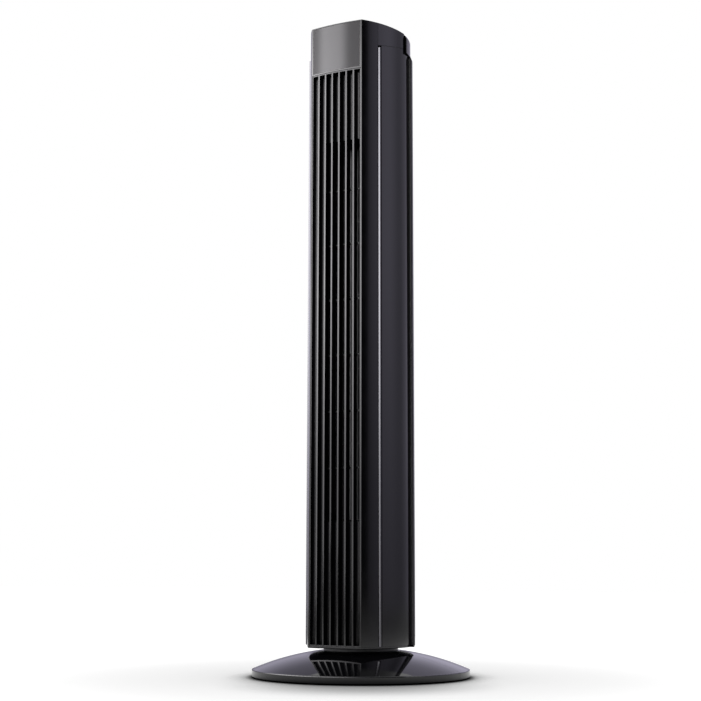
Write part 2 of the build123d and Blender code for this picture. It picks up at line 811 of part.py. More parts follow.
# ---------------------------------------------------------------- top cap and controls
button_places = [((i - (button_count - 1) / 2) * button_pitch, control_y) for i in range(button_count)]
cap_underside = overall_height - cap_plate
flange_thickness = 1.5
board_post_places = [
    (x, control_y + y) for x in (-board_half_width + 4, board_half_width - 4) for y in (-16, 16)
]


def edge_corner(radius, top, edge_radius):
    """Half ring outside the rounded top edge of the cap's rear part."""
    turn = edge_radius * sin(radians(45))
    with BuildPart() as corner:
        with BuildSketch(Plane.XZ):
            with BuildLine():
                ThreePointArc(
                    (radius - edge_radius, top),
                    (radius - edge_radius + turn, top - edge_radius + turn),
                    (radius, top - edge_radius),
                )
                Polyline(
                    (radius, top - edge_radius),
                    (radius + edge_radius, top - edge_radius),
                    (radius + edge_radius, top + edge_radius),
                    (radius - edge_radius, top + edge_radius),
                    (radius - edge_radius, top),
                )
            make_face()
        revolve(axis=Axis.Z)
        with BuildSketch(Plane.XY.offset(top - edge_radius)):
            add(band(widest_y, cutter_reach))
        extrude(amount=2 * edge_radius, mode=Mode.INTERSECT)
    return corner.part


def rounded_block(inset, bottom, top, edge_radius):
    """The cap's outline as a block whose rear top edge is rounded."""
    with BuildPart() as block:
        with BuildSketch(Plane.XY.offset(bottom)):
            add(outline(inset, cap_rear_radius, widest_y))
        extrude(amount=top - bottom)
        add(edge_corner(cap_rear_radius - inset, top, edge_radius), mode=Mode.SUBTRACT)
    return block.part


with BuildPart() as top_cap:
    cap_bottom = side_top_front - 20.0
    add(rounded_block(0, cap_bottom, overall_height, cap_edge_radius))
    with BuildSketch(Plane.XY.offset(cap_bottom)):
        add(band(-cutter_reach, groove_front_y + panel_gap))
    extrude(amount=overall_height - cap_bottom, mode=Mode.SUBTRACT)
    # a small groove rounds off the rear end of each side
    with BuildSketch(Plane.XY.offset(cap_bottom)):
        with Locations((widest_half_width, widest_y), (-widest_half_width, widest_y)):
            Rectangle(2 * cap_side_rounding, 0.5, align=(Align.CENTER, Align.MAX))
    extrude(amount=overall_height - cap_bottom, mode=Mode.SUBTRACT)
    side_ends = top_cap.edges().filter_by(Axis.Z).filter_by_position(
        Axis.Y, widest_y - 0.6, widest_y - 0.4
    )
    outer_ends = side_ends.sort_by(Axis.X)
    fillet((outer_ends[0], outer_ends[-1]), radius=cap_side_rounding - 0.3)
    add(rounded_block(wall, cap_bottom - 1, cap_underside, cap_edge_radius - wall), mode=Mode.SUBTRACT)
    # the part of the plate that lies inside the front shell
    with BuildSketch(Plane.XY.offset(cap_underside)):
        add(outline(wall + panel_gap))
        add(band(-cutter_reach, groove_front_y + 2.0), mode=Mode.INTERSECT)
    extrude(amount=cap_plate)
    # the cap ends at the parting line
    with BuildSketch(Plane.YZ.offset(-150)):
        Polygon(
            (-100.0, front_level + panel_gap),
            (widest_y + panel_gap / 2, side_top_rear + panel_gap + rise * panel_gap / 2),
            (widest_y + panel_gap / 2, rear_shell_top),
            (100.0, rear_shell_top),
            (100.0, 0),
            (-100.0, 0),
            align=None,
        )
    extrude(amount=300, mode=Mode.SUBTRACT)
    with BuildSketch(Plane.XY.offset(cap_underside)):
        with Locations((0, control_y)):
            RectangleRounded(2 * panel_half_width, 2 * panel_half_depth, panel_corner)
    extrude(amount=cap_plate, mode=Mode.SUBTRACT)
    with BuildSketch(Plane.XY.offset(cap_underside)):
        with Locations(*board_post_places):
            Circle(board_post_radius)
    extrude(amount=-(cap_underside - board_top))
    with BuildSketch(Plane.XY.offset(board_top)):
        with Locations(*board_post_places):
            Circle(1.2)
    extrude(amount=8, mode=Mode.SUBTRACT)
save(top_cap.part, "top_cap")

with BuildPart() as control_panel:
    with BuildSketch(Plane.XY.offset(cap_underside)):
        with Locations((0, control_y)):
            RectangleRounded(
                2 * (panel_half_width - panel_gap),
                2 * (panel_half_depth - panel_gap),
                panel_corner - panel_gap,
            )
    extrude(amount=cap_plate + 0.3)
    chamfer(control_panel.faces().sort_by(Axis.Z)[-1].edges(), length=0.5)
    with BuildSketch(Plane.XY.offset(cap_underside)):
        with Locations((0, control_y)):
            Rectangle(2 * panel_half_width - 6, 2 * panel_half_depth + 5)
    extrude(amount=-flange_thickness)
    with BuildSketch(Plane.XY.offset(cap_underside - flange_thickness)):
        with Locations(*button_places):
            Circle(button_radius + panel_gap)
        with Locations(*[(x, y + lens_offset) for x, y in button_places]):
            Circle(lens_radius + screw_gap)
    extrude(amount=10, mode=Mode.SUBTRACT)
save(control_panel.part, "control_panel")

flange_top_level = cap_underside - flange_thickness - turning_gap
stem_bottom = board_top + mat_thickness + 2.0 + button_travel + turning_gap
for (x, y), name in zip(button_places, ("power", "speed", "timer", "swing")):
    with BuildPart() as push_button:
        with BuildSketch(Plane.XY.offset(flange_top_level - button_flange_thickness)):
            with Locations((x, y)):
                Circle(button_flange_radius)
        extrude(amount=button_flange_thickness)
        with BuildSketch(Plane.XY.offset(flange_top_level)):
            with Locations((x, y)):
                Circle(button_radius)
        extrude(amount=overall_height + button_rise - flange_top_level)
        fillet(push_button.faces().sort_by(Axis.Z)[-1].edges(), radius=0.7)
        with BuildSketch(Plane.XY.offset(stem_bottom)):
            with Locations((x, y)):
                Circle(2.0)
        extrude(amount=flange_top_level - button_flange_thickness - stem_bottom)
    save(push_button.part, f"{name}_button")

with BuildPart() as indicator_lenses:
    lens_places = [(x, y + lens_offset) for x, y in button_places]
    with BuildSketch(Plane.XY.offset(cap_underside - flange_thickness)):
        with Locations(*lens_places):
            Circle(lens_radius)
    extrude(amount=overall_height + 0.3 - cap_underside + flange_thickness)
    with BuildSketch(Plane.XY.offset(cap_underside - flange_thickness)):
        with Locations(*lens_places):
            Circle(lens_radius + 0.8)
    extrude(amount=-1.2)
save(indicator_lenses.part, "indicator_lenses")

with BuildPart() as control_board:
    with BuildSketch(Plane.XY.offset(board_top - board_thickness)):
        with Locations((0, control_y)):
            Rectangle(2 * board_half_width, 2 * board_half_depth)
        with Locations(*board_post_places):
            Circle(screw_radius, mode=Mode.SUBTRACT)
    extrude(amount=board_thickness)
save(control_board.part, "control_board")

with BuildPart() as board_screws:
    with BuildSketch(Plane.XY.offset(board_top - board_thickness)):
        with Locations(*board_post_places):
            Circle(2.6)
    extrude(amount=-1.6)
    with BuildSketch(Plane.XY.offset(board_top - board_thickness)):
        with Locations(*board_post_places):
            Circle(1.1)
    extrude(amount=board_thickness + 6)
save(board_screws.part, "board_screws")

with BuildPart() as switch_mat:
    with BuildSketch(Plane.XY.offset(board_top)):
        with Locations((0, control_y)):
            Rectangle(78, 22)
    extrude(amount=mat_thickness)
    with BuildSketch(Plane.XY.offset(board_top + mat_thickness)):
        with Locations(*button_places):
            Circle(4.0)
    extrude(amount=2.0, taper=20)
save(switch_mat.part, "switch_mat")

# ---------------------------------------------------------------- inner frame and air duct
with BuildPart() as frame_posts:
    with BuildSketch(Plane.XY.offset(floor_top)):
        with Locations(*post_places):
            Circle(column_post_radius)
            Circle(screw_radius, mode=Mode.SUBTRACT)
    extrude(amount=lower_deck_bottom - floor_top)
save(frame_posts.part, "frame_posts")

with BuildPart() as lower_deck:
    with BuildSketch(Plane.XY.offset(lower_deck_bottom)):
        add(inside())
        with Locations((0, blower_y)):
            Circle(bush_radius + 2.0, mode=Mode.SUBTRACT)
            with PolarLocations(motor_mount_circle, 4, start_angle=45):
                Circle(screw_radius + screw_gap, mode=Mode.SUBTRACT)
    extrude(amount=deck_thickness)
    with BuildSketch(Plane.XY.offset(lower_deck_bottom)):
        add(inside())
        add(inside(deck_rim_wall), mode=Mode.SUBTRACT)
    extrude(amount=-deck_rim_height)
    add(radial_rods(screw_radius + screw_gap, rim_screw_mid, 60.0, 80.0), mode=Mode.SUBTRACT)
save(lower_deck.part, "lower_deck")

with BuildPart() as upper_deck:
    with BuildSketch(Plane.XY.offset(upper_deck_bottom)):
        add(inside())
        with Locations((0, blower_y)):
            Circle(bush_radius, mode=Mode.SUBTRACT)
    extrude(amount=deck_thickness)
    with BuildSketch(Plane.XY.offset(upper_deck_bottom + deck_thickness)):
        add(inside())
        add(inside(deck_rim_wall), mode=Mode.SUBTRACT)
    extrude(amount=deck_rim_height)
    add(radial_rods(screw_radius + screw_gap, rim_screw_high, 60.0, 80.0), mode=Mode.SUBTRACT)
save(upper_deck.part, "upper_deck")


def blower_point(radius, angle):
    """Point in plan at a radius and angle about the blower's axis."""
    return Vector(radius * cos(radians(angle)), blower_y + radius * sin(radians(angle)))


duct_front_y = grille_back_y() + panel_gap
duct_height = upper_deck_bottom - lower_deck_bottom - deck_thickness
outlet_left = slot_places[blind_slot_count] - slot_width / 2
outlet_right = slot_places[-1] + slot_width / 2

with BuildPart() as scroll_wall:
    scroll_start = blower_point(impeller_radius + scroll_gap, 62)
    scroll_via = blower_point(impeller_radius + 11.0, 0)
    scroll_end = Vector(outlet_right + 1.0, duct_front_y)
    with BuildLine(mode=Mode.PRIVATE):
        scroll_arc = ThreePointArc(scroll_start, scroll_via, scroll_end)
    scroll_centre = scroll_arc.arc_center
    outer_points = [
        scroll_centre + (p - scroll_centre) * ((p - scroll_centre).length + duct_wall)
        * (1 / (p - scroll_centre).length)
        for p in (scroll_end, scroll_via, scroll_start)
    ]
    with BuildSketch(Plane.XY.offset(lower_deck_bottom + deck_thickness)):
        with BuildLine():
            ThreePointArc(scroll_start, scroll_via, scroll_end)
            Line(scroll_end, outer_points[0])
            ThreePointArc(*outer_points)
            Line(outer_points[2], scroll_start)
        make_face()
        add(inside(), mode=Mode.INTERSECT)
    extrude(amount=duct_height)
save(scroll_wall.part, "scroll_wall")

with BuildPart() as tongue_wall:
    near = impeller_radius + tongue_gap
    far = near + duct_wall
    lead_in = blower_point(near, -113)
    with BuildSketch(Plane.XY.offset(lower_deck_bottom + deck_thickness)):
        with BuildLine():
            Line((outlet_left, duct_front_y), lead_in)
            ThreePointArc(lead_in, blower_point(near, -140), blower_point(near, -168))
            Line(blower_point(near, -168), (-widest_half_width, blower_point(near, -168).Y))
            Line(
                (-widest_half_width, blower_point(near, -168).Y),
                (-widest_half_width, blower_point(near, -168).Y - duct_wall),
            )
            elbow = blower_point(far, -165)
            Line((-widest_half_width, blower_point(near, -168).Y - duct_wall), elbow)
            ThreePointArc(elbow, blower_point(far, -140), blower_point(far, -114))
            Line(blower_point(far, -114), (outlet_left - duct_wall, duct_front_y))
            Line((outlet_left - duct_wall, duct_front_y), (outlet_left, duct_front_y))
        make_face()
        add(inside(), mode=Mode.INTERSECT)
    extrude(amount=duct_height)
save(tongue_wall.part, "tongue_wall")

# ---------------------------------------------------------------- crossflow impeller
with BuildPart() as impeller:
    stage_pitch = (impeller_length - ring_thickness) / impeller_stages
    ring_levels = [impeller_bottom + i * stage_pitch for i in range(impeller_stages + 1)]
    blade_inner = impeller_radius - blade_depth
    with BuildSketch(Plane.XY.offset(impeller_bottom)):
        with BuildLine(mode=Mode.PRIVATE):
            tip = Vector(impeller_radius, 0)
            root = Vector(blade_inner, 0).rotate(Axis.Z, blade_sweep)
            chord = tip - root
            across = chord.normalized().cross(Vector(0, 0, 1))
            belly = (tip + root) * 0.5 - across * 1.6
            back = belly - across * blade_thickness
            blade_edges = [ThreePointArc(root, belly, tip), ThreePointArc(tip, back, root)]
        blade_face = make_face(blade_edges, mode=Mode.PRIVATE)
        with Locations((0, blower_y)):
            with PolarLocations(0, blade_count):
                add(blade_face)
    extrude(amount=impeller_length)
    for level in ring_levels[1:-1]:
        with BuildSketch(Plane.XY.offset(level)):
            with Locations((0, blower_y)):
                Circle(impeller_radius + 0.6)
                Circle(blade_inner - 1.2, mode=Mode.SUBTRACT)
        extrude(amount=ring_thickness)
    for level in (ring_levels[0], ring_levels[-1]):
        with BuildSketch(Plane.XY.offset(level)):
            with Locations((0, blower_y)):
                Circle(impeller_radius + 0.6)
        extrude(amount=ring_thickness)
    with BuildSketch(Plane.XY.offset(impeller_bottom)):
        with Locations((0, blower_y)):
            Circle(9.0)
    extrude(amount=-8)
    with BuildSketch(Plane.XY.offset(impeller_bottom)):
        with Locations((0, blower_y)):
            Circle(9.0)
    extrude(amount=12)
    with BuildSketch(Plane.XY.offset(impeller_bottom - 8)):
        with Locations((0, blower_y)):
            Circle(shaft_radius + fit_gap)
    extrude(amount=18, mode=Mode.SUBTRACT)
    with BuildSketch(Plane.XY.offset(impeller_top - ring_thickness)):
        with Locations((0, blower_y)):
            Circle(shaft_radius)
    extrude(amount=upper_deck_bottom + deck_thickness + 8 - impeller_top)
save(impeller.part, "impeller")

# ---------------------------------------------------------------- motor
stator_top = stator_bottom + stator_height
mount_drop = lower_deck_bottom - stator_top - bell_depth


def blower_disc(bottom, height, outer, inner):
    """Plain ring on the blower's axis."""
    with BuildPart() as ring:
        with BuildSketch(Plane.XY.offset(bottom)):
            with Locations((0, blower_y)):
                Circle(outer)
                if inner > 0:
                    Circle(inner, mode=Mode.SUBTRACT)
        extrude(amount=height)
    return ring.part


with BuildPart() as motor_stator:
    with BuildSketch(Plane.XY.offset(stator_bottom)):
        with Locations((0, blower_y)):
            Circle(motor_radius)
            Circle(rotor_radius + motor_air_gap, mode=Mode.SUBTRACT)
            with PolarLocations(rotor_radius + 4.5, 12):
                SlotOverall(7.0, 3.0, mode=Mode.SUBTRACT)
    extrude(amount=stator_height)
save(motor_stator.part, "motor_stator")

with BuildPart() as motor_windings:
    add(blower_disc(stator_top, winding_height, winding_outer, winding_inner))
    add(blower_disc(stator_bottom - winding_height, winding_height, winding_outer, winding_inner))
save(motor_windings.part, "motor_windings")

with BuildPart() as motor_upper_bell:
    add(blower_disc(stator_top, bell_depth, motor_radius, 0))
    chamfer(motor_upper_bell.faces().sort_by(Axis.Z)[-1].edges(), length=3.0)
    cup = blower_disc(stator_top, bell_depth - bell_wall, motor_radius - bell_wall, 0)
    add(cup, mode=Mode.SUBTRACT)
    add(blower_disc(stator_top, bell_depth, bush_radius, 0), mode=Mode.SUBTRACT)
    with BuildSketch(Plane.XY.offset(stator_top + bell_depth - bell_wall)):
        with Locations((0, blower_y)):
            with PolarLocations(motor_mount_circle, 4, start_angle=45):
                Circle(motor_mount_radius)
    extrude(amount=bell_wall + mount_drop)
    with BuildSketch(Plane.XY.offset(stator_top + bell_depth - bell_wall)):
        with Locations((0, blower_y)):
            with PolarLocations(motor_mount_circle, 4, start_angle=45):
                Circle(screw_radius + screw_gap)
    extrude(amount=bell_wall + mount_drop, mode=Mode.SUBTRACT)
save(motor_upper_bell.part, "motor_upper_bell")

with BuildPart() as motor_lower_bell:
    add(blower_disc(stator_bottom - bell_depth, bell_depth, motor_radius, 0))
    chamfer(motor_lower_bell.faces().sort_by(Axis.Z)[0].edges(), length=3.0)
    cup_floor = stator_bottom - bell_depth + bell_wall
    cup = blower_disc(cup_floor, bell_depth - bell_wall, motor_radius - bell_wall, 0)
    add(cup, mode=Mode.SUBTRACT)
    add(blower_disc(stator_bottom - bell_depth, bell_depth, bush_radius, 0), mode=Mode.SUBTRACT)
save(motor_lower_bell.part, "motor_lower_bell")

with BuildPart() as motor_bushes:
    for bush_bottom in (stator_bottom - bell_depth, stator_top + bell_depth - bell_wall):
        add(
            blower_disc(bush_bottom, bell_wall, bush_radius - fit_gap, shaft_radius + fit_gap)
        )
save(motor_bushes.part, "motor_bushes")

with BuildPart() as motor_screws:
    deck_top = lower_deck_bottom + deck_thickness
    with BuildSketch(Plane.XY.offset(deck_top)):
        with Locations((0, blower_y)):
            with PolarLocations(motor_mount_circle, 4, start_angle=45):
                Circle(screw_head_radius)
    extrude(amount=screw_head_height)
    with BuildSketch(Plane.XY.offset(deck_top)):
        with Locations((0, blower_y)):
            with PolarLocations(motor_mount_circle, 4, start_angle=45):
                Circle(screw_radius)
    extrude(amount=-(deck_thickness + mount_drop + bell_wall))
save(motor_screws.part, "motor_screws")

with BuildPart() as motor_rotor:
    add(blower_disc(stator_bottom - 1, stator_height + 2, rotor_radius, shaft_radius + fit_gap))
save(motor_rotor.part, "motor_rotor")

with BuildPart() as motor_shaft:
    shaft_bottom = stator_bottom - bell_depth - 6.0
    add(blower_disc(shaft_bottom, impeller_bottom + 9.5 - shaft_bottom, shaft_radius, 0))
    chamfer(motor_shaft.faces().sort_by(Axis.Z)[-1].edges(), length=0.6)
save(motor_shaft.part, "motor_shaft")

with BuildPart() as bearing_holder:
    holder_bottom = upper_deck_bottom + deck_thickness
    add(blower_disc(holder_bottom, 9.0, 14.0, bush_radius))
    chamfer(bearing_holder.faces().sort_by(Axis.Z)[-1].edges(), length=1.0)
save(bearing_holder.part, "bearing_holder")

with BuildPart() as upper_bush:
    add(blower_disc(holder_bottom, 7.0, bush_radius - fit_gap, shaft_radius + fit_gap))
save(upper_bush.part, "upper_bush")

# ---------------------------------------------------------------- swing motor and capacitor
with BuildPart() as swing_motor:
    motor_height = gear_bottom - 1.5 - floor_top
    with BuildSketch(Plane.XY.offset(floor_top)):
        with Locations((0, swing_motor_y)):
            Circle(14.0)
    extrude(amount=motor_height)
    with BuildSketch(Plane.XY.offset(floor_top)):
        with Locations((0, swing_motor_y)):
            SlotOverall(42.0, 7.0)
    extrude(amount=1.2)
    with BuildSketch(Plane.XY.offset(floor_top)):
        with Locations((swing_motor_ear, swing_motor_y), (-swing_motor_ear, swing_motor_y)):
            Circle(screw_radius + screw_gap)
    extrude(amount=1.2, mode=Mode.SUBTRACT)
    with BuildSketch(Plane.XY.offset(floor_top + 7.5)):
        with Locations((0, pinion_y)):
            Circle(2.5 + fit_gap)
    extrude(amount=motor_height, mode=Mode.SUBTRACT)
save(swing_motor.part, "swing_motor")

with BuildPart() as swing_motor_screws:
    with BuildSketch(Plane.XY.offset(floor_top + 1.2)):
        with Locations((swing_motor_ear, swing_motor_y), (-swing_motor_ear, swing_motor_y)):
            Circle(2.8)
    extrude(amount=1.6)
    with BuildSketch(Plane.XY.offset(floor_top + 1.2)):
        with Locations((swing_motor_ear, swing_motor_y), (-swing_motor_ear, swing_motor_y)):
            Circle(screw_radius - fit_gap)
    extrude(amount=-3.2)
save(swing_motor_screws.part, "swing_motor_screws")

with BuildPart() as run_capacitor:
    with BuildSketch(Plane.XY.offset(floor_top)):
        with Locations((0, -48.0)):
            RectangleRounded(36.0, 16.0, 1.5)
    extrude(amount=26.0)
    chamfer(run_capacitor.faces().sort_by(Axis.Z)[-1].edges(), length=1.0)
save(run_capacitor.part, "run_capacitor")
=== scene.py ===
"""Looks for the tower fan: finishes for every CAD node, a pale floor and soft studio light."""

import json
import math

import bpy
from mathutils import Matrix, Vector

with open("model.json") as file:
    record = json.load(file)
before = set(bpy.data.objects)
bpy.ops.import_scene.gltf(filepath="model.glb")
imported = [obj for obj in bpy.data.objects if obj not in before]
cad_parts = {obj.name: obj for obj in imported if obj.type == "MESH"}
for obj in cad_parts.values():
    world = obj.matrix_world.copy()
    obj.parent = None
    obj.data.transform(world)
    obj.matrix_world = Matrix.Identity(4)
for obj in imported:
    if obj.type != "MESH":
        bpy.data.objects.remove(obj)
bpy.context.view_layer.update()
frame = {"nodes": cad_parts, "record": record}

MM = 0.001

# ---------------------------------------------------------------- camera
CAMERA_ANGLE = math.radians(28.3)  # to the right of straight ahead
CAMERA_DISTANCE = 1.981
CAMERA_HEIGHT = 0.1473
CAMERA_PITCH = math.radians(8.87)
CAMERA_YAW = math.radians(-0.44)
CAMERA_ROLL = math.radians(0.12)
CAMERA_LENS = 71.9


def make_camera():
    """Camera a little above the floor, looking up at the column from the front right."""
    data = bpy.data.cameras.new("studio_camera")
    camera = bpy.data.objects.new("studio_camera", data)
    bpy.context.scene.collection.objects.link(camera)
    data.lens = CAMERA_LENS
    data.sensor_width = 36.0
    data.clip_start = 0.05
    data.clip_end = 50.0
    angle = CAMERA_ANGLE
    camera.location = (
        CAMERA_DISTANCE * math.sin(angle),
        -CAMERA_DISTANCE * math.cos(angle),
        CAMERA_HEIGHT,
    )
    right = Vector((math.cos(angle), math.sin(angle), 0))
    ahead = Vector((-math.sin(angle), math.cos(angle), 0))
    up = Vector((0, 0, 1))
    side = right * math.cos(CAMERA_YAW) - ahead * math.sin(CAMERA_YAW)
    ahead = ahead * math.cos(CAMERA_YAW) + right * math.sin(CAMERA_YAW)
    tilted_up = up * math.cos(CAMERA_PITCH) - ahead * math.sin(CAMERA_PITCH)
    ahead = ahead * math.cos(CAMERA_PITCH) + up * math.sin(CAMERA_PITCH)
    rolled_side = side * math.cos(CAMERA_ROLL) + tilted_up * math.sin(CAMERA_ROLL)
    rolled_up = tilted_up * math.cos(CAMERA_ROLL) - side * math.sin(CAMERA_ROLL)
    turn = Matrix((rolled_side, rolled_up, -ahead)).transposed()
    camera.rotation_euler = turn.to_euler()
    bpy.context.scene.camera = camera


# ---------------------------------------------------------------- materials
class Nodes:
    """A material's node tree, with short calls to add and join nodes."""

    def __init__(self, name):
        self.material = bpy.data.materials.new(name)
        self.material.use_nodes = True
        self.tree = self.material.node_tree
        self.shader = self.tree.nodes["Principled BSDF"]

    def add(self, kind, **values):
        node = self.tree.nodes.new(kind)
        for key, value in values.items():
            setattr(node, key, value)
        return node

    def join(self, source, target):
        self.tree.links.new(source, target)

    def noise(self, scale, detail=3.0, stretch=(1, 1, 1)):
        place = self.add("ShaderNodeTexCoord")
        mapping = self.add("ShaderNodeMapping")
        mapping.inputs["Scale"].default_value = stretch
        texture = self.add("ShaderNodeTexNoise")
        texture.inputs["Scale"].default_value = scale
        texture.inputs["Detail"].default_value = detail
        self.join(place.outputs["Object"], mapping.inputs["Vector"])
        self.join(mapping.outputs["Vector"], texture.inputs["Vector"])
        return texture.outputs["Fac"]

    def spread(self, source, low, high, start=0.3, end=0.7):
        """Map a 0 to 1 value to low to high."""
        ramp = self.add("ShaderNodeMapRange")
        ramp.inputs["From Min"].default_value = start
        ramp.inputs["From Max"].default_value = end
        ramp.inputs["To Min"].default_value = low
        ramp.inputs["To Max"].default_value = high
        self.join(source, ramp.inputs["Value"])
        return ramp.outputs["Result"]

    def colours(self, source, dark, light):
        mix = self.add("ShaderNodeMix", data_type="RGBA")
        mix.inputs["A"].default_value = (*dark, 1)
        mix.inputs["B"].default_value = (*light, 1)
        self.join(source, mix.inputs["Factor"])
        return mix.outputs["Result"]

    def bump(self, source, height, distance=0.0002):
        node = self.add("ShaderNodeBump")
        node.inputs["Strength"].default_value = height
        node.inputs["Distance"].default_value = distance
        self.join(source, node.inputs["Height"])
        self.join(node.outputs["Normal"], self.shader.inputs["Normal"])
        return node

    def round_edges(self, bump_node, radius):
        """Soft moulded edges, as light catches them."""
        bevel = self.add("ShaderNodeBevel", samples=4)
        bevel.inputs["Radius"].default_value = radius
        self.join(bevel.outputs["Normal"], bump_node.inputs["Normal"])


class Levels:
    """Short calls for the arithmetic of a light level in a node tree."""

    def __init__(self, tree):
        self.tree = tree

    def combine(self, operation, *terms):
        """One Math node; each term is a number or another node's output."""
        node = self.tree.nodes.new("ShaderNodeMath")
        node.operation = operation
        for socket, term in zip(node.inputs, terms):
            if isinstance(term, (int, float)):
                socket.default_value = term
            else:
                self.tree.links.new(term, socket)
        return node.outputs[0]

    def times(self, source, factor):
        return self.combine("MULTIPLY", source, factor)

    def less(self, source, share):
        """The source with a share of it, from 0 to 1, taken away."""
        return self.times(source, self.combine("SUBTRACT", 1.0, share))

    def step(self, source, start, end, low=0.0, high=1.0):
        """Smooth change from low to high while source goes from start to end."""
        node = self.tree.nodes.new("ShaderNodeMapRange")
        node.interpolation_type = "SMOOTHSTEP"
        node.inputs["From Min"].default_value = start
        node.inputs["From Max"].default_value = end
        node.inputs["To Min"].default_value = low
        node.inputs["To Max"].default_value = high
        self.tree.links.new(source, node.inputs["Value"])
        return node.outputs["Result"]

    def window(self, source, rise, fall):
        """One inside a stretch and nothing outside, with soft ends."""
        return self.times(self.step(source, *rise), self.step(source, *fall, 1.0, 0.0))


PLASTIC_IOR = 1.5
# painted shade in crevices: where walls are near, the black plastics' specular level is cut, so slots and
# seams go dark
CREVICE_SHADE_REACH = 14.0 * MM  # how near a wall has to be to take the shine off a surface
CREVICE_SHADE_OPENNESS = (0.45, 0.80)  # from shut in to open
CREVICE_SHADE_SPECULAR = (0.02, 0.5)


def moulded_black(name, dark, light, rough, edge):
    """Moulded black plastic with a little haze in its gloss, soft edges, and painted shade in its crevices,
    where the specular level is cut.
    """
    n = Nodes(name)
    s = n.shader.inputs
    wave = n.noise(160.0, 1.0)
    haze = n.noise(30.0, 4.0)
    n.join(n.colours(haze, dark, light), s["Base Color"])
    n.join(n.spread(haze, rough[0], rough[1]), s["Roughness"])
    s["IOR"].default_value = PLASTIC_IOR
    openness = n.add("ShaderNodeAmbientOcclusion", samples=6)
    openness.inputs["Distance"].default_value = CREVICE_SHADE_REACH
    # painted shade: the specular level falls from open surfaces to shut-in crevices
    shine = n.spread(openness.outputs["AO"], *CREVICE_SHADE_SPECULAR, *CREVICE_SHADE_OPENNESS)
    n.join(shine, s["Specular IOR Level"])
    bump = n.bump(wave, 0.04)
    n.round_edges(bump, edge)
    return n.material


def matte_black():
    """Fine spark-textured plastic."""
    n = Nodes("matte_black")
    s = n.shader.inputs
    grain = n.noise(2600.0, 2.0)
    cloud = n.noise(20.0, 3.0)
    n.join(n.colours(cloud, (0.0055, 0.0055, 0.0065), (0.009, 0.009, 0.010)), s["Base Color"])
    n.join(n.spread(grain, 0.36, 0.5), s["Roughness"])
    bump = n.bump(grain, 0.3, 0.00012)
    n.round_edges(bump, 0.4 * MM)
    return n.material


# painted highlight: across the plate, in metres from its middle, where the painted highlight sets in and ends
PAINTED_SHEEN_RISE = (-0.040, -0.012)
PAINTED_SHEEN_FALL = (0.0, 0.030)
PAINTED_SHEEN_SPECULAR = (0.20, 0.50)


def satin_grey():
    """Satin grey plate with a faint fine grain, and a painted highlight: its specular level is raised along a
    fixed stretch of its middle.
    """
    n = Nodes("satin_grey")
    s = n.shader.inputs
    grain = n.noise(900.0, 3.0)
    n.join(n.colours(grain, (0.030, 0.029, 0.030), (0.038, 0.036, 0.039)), s["Base Color"])
    n.join(n.spread(grain, 0.30, 0.36), s["Roughness"])
    s["IOR"].default_value = PLASTIC_IOR
    place = n.add("ShaderNodeTexCoord")
    split = n.add("ShaderNodeSeparateXYZ")
    n.join(place.outputs["Object"], split.inputs[0])
    level = Levels(n.tree)
    painted_sheen = level.window(split.outputs["X"], PAINTED_SHEEN_RISE, PAINTED_SHEEN_FALL)
    # painted highlight: more specular level inside a fixed stretch across the plate
    n.join(level.step(painted_sheen, 0.0, 1.0, *PAINTED_SHEEN_SPECULAR), s["Specular IOR Level"])
    n.bump(grain, 0.08, 0.00005)
    return n.material


def metal(name, dark, light, rough, grain_scale=1200.0, stretch=(1, 1, 1)):
    """Metal with a fine grain in its colour and roughness."""
    n = Nodes(name)
    s = n.shader.inputs
    grain = n.noise(grain_scale, 3.0, stretch)
    n.join(n.colours(grain, dark, light), s["Base Color"])
    n.join(n.spread(grain, rough[0], rough[1]), s["Roughness"])
    s["Metallic"].default_value = 1.0
    n.bump(grain, 0.1, 0.00005)
    return n.material


def plastic(name, dark, light, rough, grain_scale=400.0, height=0.1):
    """Plain moulded plastic or rubber with a fine grain."""
    n = Nodes(name)
    s = n.shader.inputs
    grain = n.noise(grain_scale, 3.0)
    n.join(n.colours(grain, dark, light), s["Base Color"])
    n.join(n.spread(grain, rough[0], rough[1]), s["Roughness"])
    n.bump(grain, height, 0.0001)
    return n.material


SHEET_STACK = (1, 1, 60)  # squeezes the grain into thin level layers


